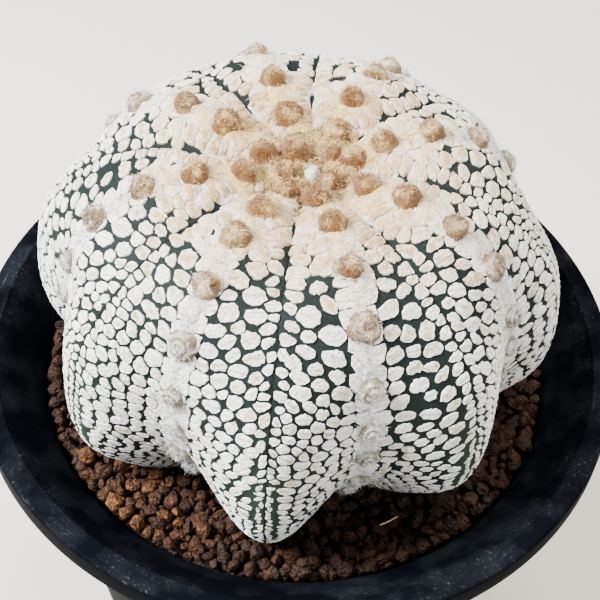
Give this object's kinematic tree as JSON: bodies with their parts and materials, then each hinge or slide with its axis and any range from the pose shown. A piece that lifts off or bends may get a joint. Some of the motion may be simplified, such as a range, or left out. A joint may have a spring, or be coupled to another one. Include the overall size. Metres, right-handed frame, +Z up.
{
  "type": "potted star cactus",
  "caption": "Low globe-shaped star cactus with woolly areole rows and white-flecked ribs, standing in granular soil in a round black plastic pot with a broad lip.",
  "frame": {"origin": "centre of the pot's foot, on the surface that the pot stands on", "axes": "+Z up through the plant, -Y towards the front"},
  "size_m": [0.13, 0.13, 0.1582],
  "materials": {
    "pot_plastic": "black moulded plastic, satin, with pale dust on the lip",
    "clay_granules": "dry crumbly baked clay granules",
    "cactus_skin": "matt grey-green waxy skin",
    "white_flecks": "short dense white felt",
    "areole_wool": "soft cream to tan wool"
  },
  "bodies": {
    "root": {"pot": "pot_plastic", "soil": "clay_granules", "stem": "cactus_skin", "areole_wool": "areole_wool"}
  },
  "joints": []
}
